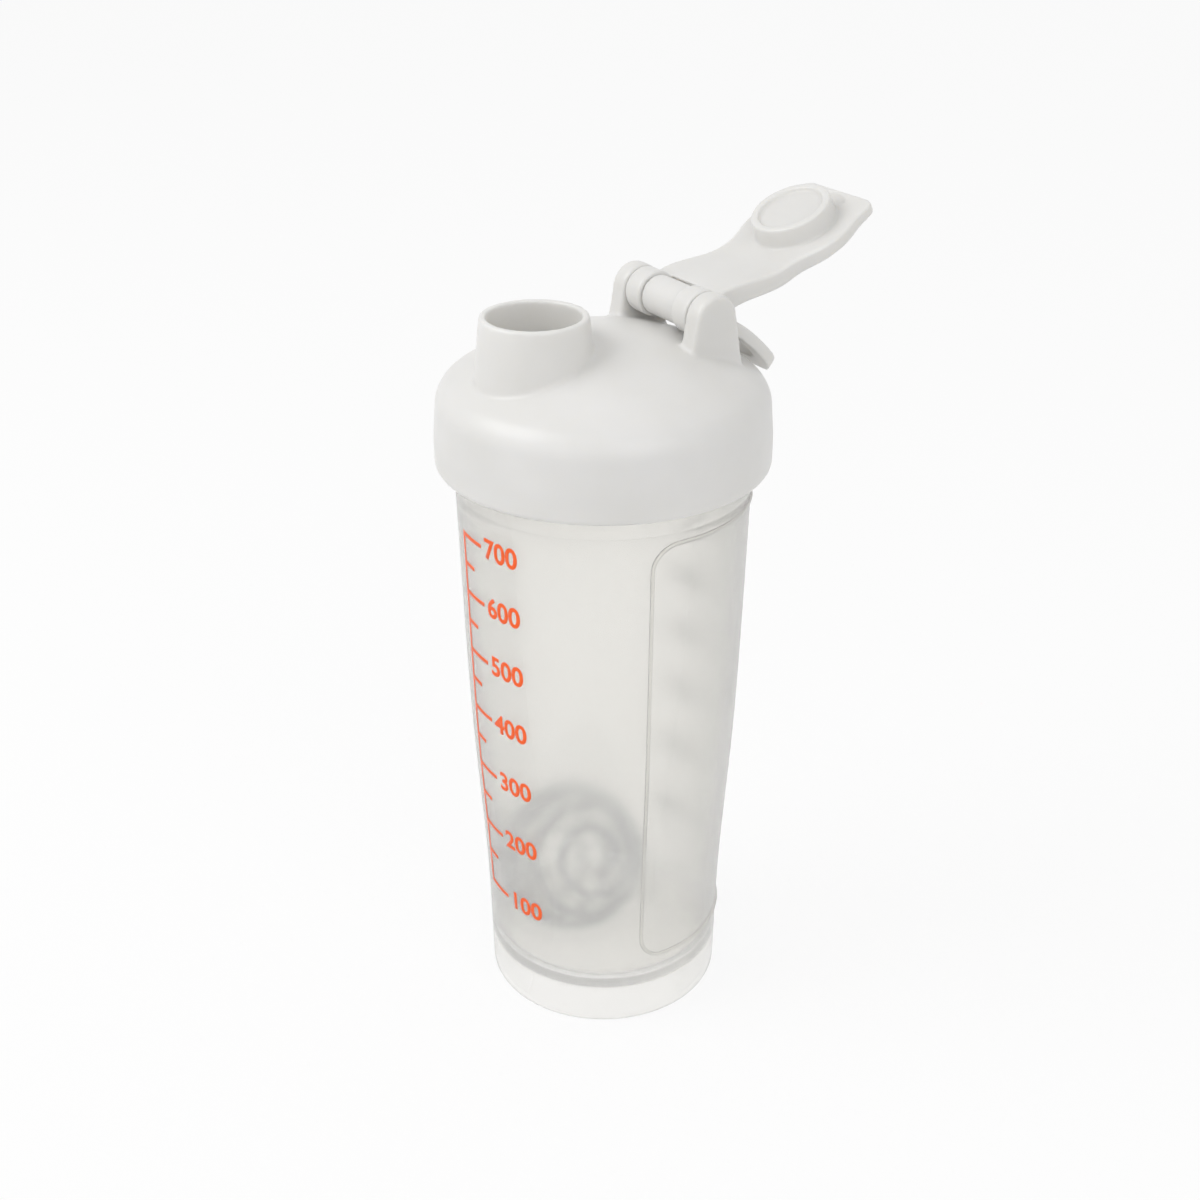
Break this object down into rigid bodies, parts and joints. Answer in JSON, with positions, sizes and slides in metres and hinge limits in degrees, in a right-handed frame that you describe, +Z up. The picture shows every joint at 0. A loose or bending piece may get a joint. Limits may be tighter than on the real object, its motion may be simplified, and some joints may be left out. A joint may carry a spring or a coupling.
{
  "type": "shaker bottle",
  "caption": "Screw-lid shaker bottle with a spout, a flip cap and carry loop on one hinge pin, a seal ring, and a loose wire whisk ball inside.",
  "frame": {"origin": "on the bottle's axis, on the surface it stands on", "axes": "+Z up along the bottle's axis, -Y towards the spout, +Y towards the hinge, whose pin runs along X; the cap is swung open and the carry loop hangs at rest"},
  "size_m": [0.098, 0.1351, 0.2493],
  "materials": {
    "clear_polypropylene": "translucent, moulded, slightly frosted",
    "milky_polypropylene": "satin moulded, milky white",
    "silicone": "matte, soft",
    "stainless_steel": "drawn wire"
  },
  "bodies": {
    "cup_body": {"cup": "clear_polypropylene"},
    "seal_body": {"lid_seal": "silicone"},
    "lid_body": {"lid": "milky_polypropylene", "hinge_pin": "stainless_steel"},
    "cap_body": {"flip_cap": "milky_polypropylene"},
    "loop_body": {"carry_loop": "milky_polypropylene"},
    "ball_body": {"whisk_ball": "stainless_steel"}
  },
  "joints": [
    {"name": "lid_lift", "type": "slide", "parent": "cup_body", "child": "seal_body", "axis": [0, 0, 1], "range_m": [0, 0.0076]},
    {"name": "lid_turn", "type": "hinge", "parent": "seal_body", "child": "lid_body", "pos_m": [0, 0, 0.19], "axis": [0, 0, 1], "range_deg": [0, 540]},
    {"name": "cap_hinge", "type": "hinge", "parent": "lid_body", "child": "cap_body", "pos_m": [0, 0.024, 0.223], "axis": [1, 0, 0], "range_deg": [0, 155]},
    {"name": "loop_hinge", "type": "hinge", "parent": "lid_body", "child": "loop_body", "pos_m": [0, 0.024, 0.223], "axis": [1, 0, 0], "range_deg": [0, 16]},
    {"name": "ball_rise", "type": "slide", "parent": "cup_body", "child": "ball_body", "axis": [0, 0, 1], "range_m": [0, 0.128]}
  ],
  "couplings": [
    {"joint": "lid_lift", "follows": "lid_turn", "m_per_rad": 0.00079577}
  ]
}
